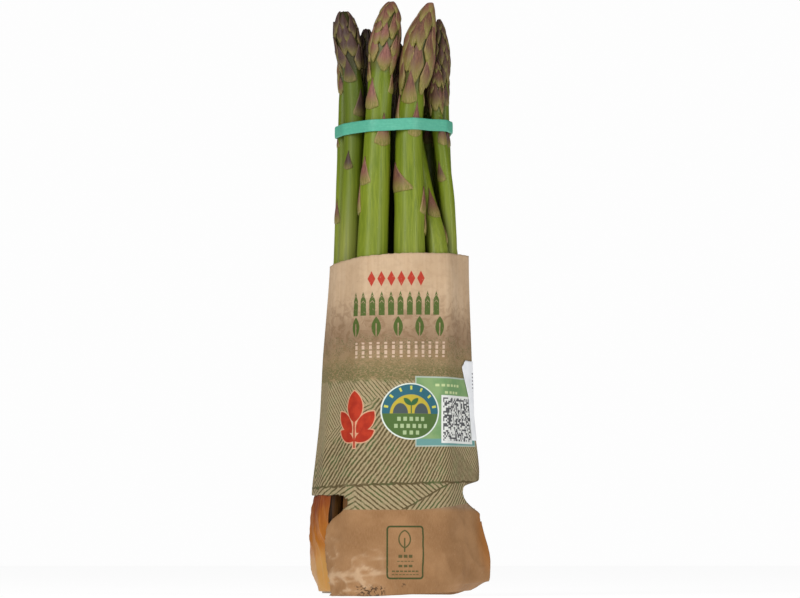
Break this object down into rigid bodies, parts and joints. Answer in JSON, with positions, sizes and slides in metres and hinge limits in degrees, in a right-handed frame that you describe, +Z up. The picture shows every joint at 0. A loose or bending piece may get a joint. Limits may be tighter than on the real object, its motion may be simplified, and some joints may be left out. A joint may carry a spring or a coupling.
{
  "type": "bundle of asparagus",
  "caption": "Upright bundle of green asparagus spears held by a rubber band, its lower half in a notched kraft paper sleeve with moist paper round the butts.",
  "frame": {"origin": "centre of the bounding box at the surface that the bundle stands on", "axes": "+Z up along the spears; -Y is the printed front of the sleeve; +X is to the right as seen from the front"},
  "size_m": [0.0768, 0.0646, 0.2504],
  "materials": {
    "asparagus": "satin",
    "kraft_paper": "matte",
    "moist_paper": "satin",
    "teal_rubber": "satin",
    "label_paper": "satin"
  },
  "bodies": {
    "root": {"spear_01": "asparagus", "spear_02": "asparagus", "spear_03": "asparagus", "spear_04": "asparagus", "spear_05": "asparagus", "spear_06": "asparagus", "spear_07": "asparagus", "spear_08": "asparagus", "spear_09": "asparagus", "spear_10": "asparagus", "spear_11": "asparagus", "spear_12": "asparagus", "spear_13": "asparagus", "spear_14": "asparagus", "spear_15": "asparagus", "spear_16": "asparagus", "paper_sleeve": "kraft_paper", "butt_wrap": "moist_paper", "rubber_band": "teal_rubber", "price_label": "label_paper"}
  },
  "joints": []
}
